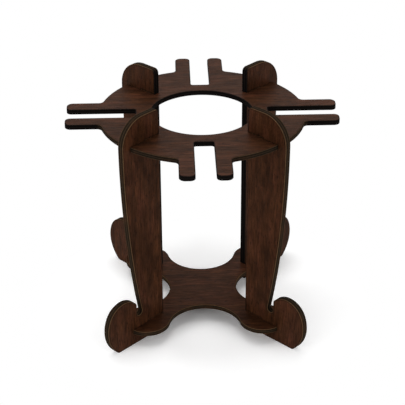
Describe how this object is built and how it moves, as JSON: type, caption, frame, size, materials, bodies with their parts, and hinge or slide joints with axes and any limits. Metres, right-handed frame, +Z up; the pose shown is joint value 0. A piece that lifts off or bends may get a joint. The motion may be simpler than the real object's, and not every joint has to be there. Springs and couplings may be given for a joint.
{
  "type": "wine bottle and stemmed glass holder",
  "caption": "Flat-pack dark wood caddy: a bottle stands on the base plate and through the ring, stemmed glasses hang upside down in slots between its fingers.",
  "frame": {"origin": "on the floor, under the centre of the bottle hole", "axes": "+Z up through the bottle hole; the hanging slots open towards +X, +Y, -X and -Y, with -Y the front; the legs stand on the diagonals"},
  "size_m": [0.262, 0.262, 0.244],
  "materials": {
    "dark_plywood": "thin dark walnut stain, satin, on laser-cut plywood with near-black charred edges"
  },
  "bodies": {
    "root": {"top_plate": "dark_plywood", "base_plate": "dark_plywood", "leg_front_left": "dark_plywood", "leg_front_right": "dark_plywood", "leg_back_left": "dark_plywood", "leg_back_right": "dark_plywood"}
  },
  "joints": []
}
